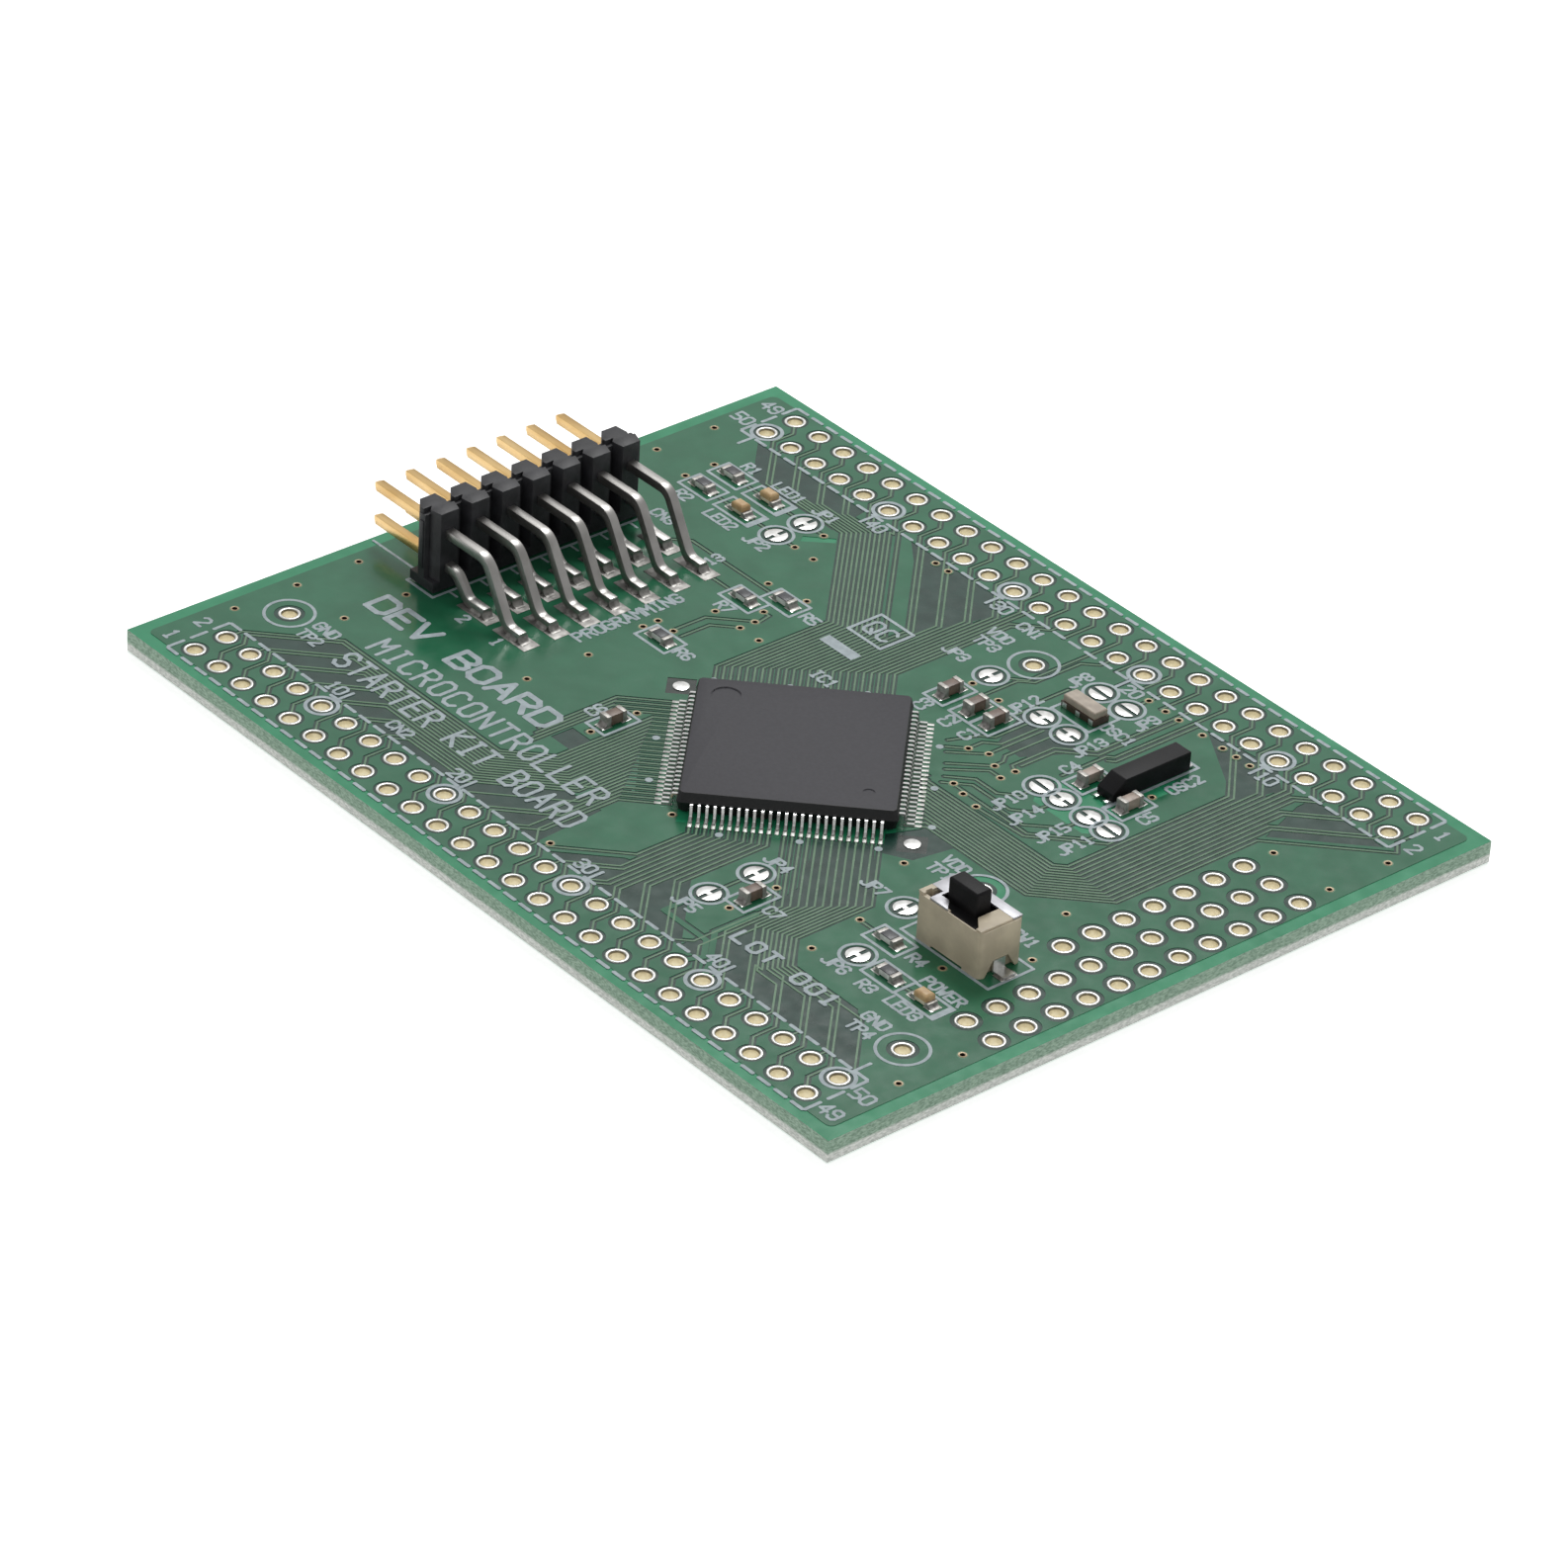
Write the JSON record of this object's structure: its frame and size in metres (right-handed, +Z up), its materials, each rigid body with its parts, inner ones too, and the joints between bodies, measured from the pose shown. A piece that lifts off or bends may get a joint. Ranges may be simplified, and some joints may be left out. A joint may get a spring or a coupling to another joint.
{
  "type": "microcontroller development board",
  "caption": "Small green circuit board with a turned square processor, edge rows of plated holes, right-angle pin header and push switch.",
  "frame": {"origin": "centre of the board on its underside", "axes": "+X along the long side, away from the programming header; +Y across the board towards edge connector 1; +Z up, out of the component face"},
  "size_m": [0.07, 0.055, 0.0077],
  "materials": {
    "laminate": "green solder mask on both faces over pale glass-epoxy",
    "tin": "hot-levelled tin",
    "copper": "plated copper",
    "header_plastic": "black moulded thermoplastic",
    "pin_metal": "gold at the mating end, tin at the solder end",
    "package_plastic": "dark grey moulding compound",
    "lead_metal": "tin-plated",
    "silicon": "bare semiconductor",
    "switch_plastic": "beige moulded plastic",
    "steel": "bright stainless sheet",
    "button_plastic": "black moulded plastic",
    "resonator_ceramic": "taupe ceramic",
    "crystal_plastic": "black moulding compound",
    "resistor_coating": "black glaze",
    "alumina": "white alumina",
    "capacitor_ceramic": "brown ceramic",
    "led_board": "white glass-epoxy",
    "lens": "amber translucent resin"
  },
  "bodies": {
    "board": {"board_laminate": "laminate", "capacitor_1": "capacitor_ceramic", "capacitor_2": "capacitor_ceramic", "capacitor_3": "capacitor_ceramic", "capacitor_4": "capacitor_ceramic", "capacitor_5": "capacitor_ceramic", "capacitor_6": "capacitor_ceramic", "capacitor_7": "capacitor_ceramic", "capacitor_end_caps": "lead_metal", "chip_lands": "tin", "connector_1_eyelets": "tin", "connector_2_eyelets": "tin", "crystal_body": "crystal_plastic", "crystal_can": "steel", "crystal_leads": "lead_metal", "fiducial_lands": "tin", "header_housing": "header_plastic", "header_lands": "tin", "header_lower_pins": "pin_metal", "header_upper_pins": "pin_metal", "jumper_lands": "tin", "led_base_1": "led_board", "led_base_2": "led_board", "led_base_3": "led_board", "led_chips": "silicon", "led_end_caps": "lead_metal", "led_lens_1": "lens", "led_lens_2": "lens", "led_lens_3": "lens", "processor_die": "silicon", "processor_lands": "tin", "processor_leads": "lead_metal", "processor_package": "package_plastic", "processor_paddle": "copper", "prototype_eyelets": "tin", "resistor_1": "alumina", "resistor_2": "alumina", "resistor_3": "alumina", "resistor_4": "alumina", "resistor_5": "alumina", "resistor_6": "alumina", "resistor_7": "alumina", "resistor_coatings": "resistor_coating", "resistor_end_caps": "lead_metal", "resonator_base": "resonator_ceramic", "resonator_element": "resonator_ceramic", "resonator_lid": "resonator_ceramic", "resonator_terminals": "lead_metal", "switch_center_contact": "lead_metal", "switch_cover_plate": "steel", "switch_dome": "steel", "switch_housing": "switch_plastic", "switch_lands": "tin", "switch_outer_contact": "lead_metal", "test_point_eyelets": "tin", "via_barrels": "copper"},
    "button": {"switch_button": "button_plastic"}
  },
  "joints": [
    {"name": "button_press", "type": "slide", "parent": "board", "child": "button", "axis": [0, 0, -1], "range_m": [0, 0.00025], "stiffness_N_per_m": 6000, "deforming": ["switch_dome"]}
  ]
}
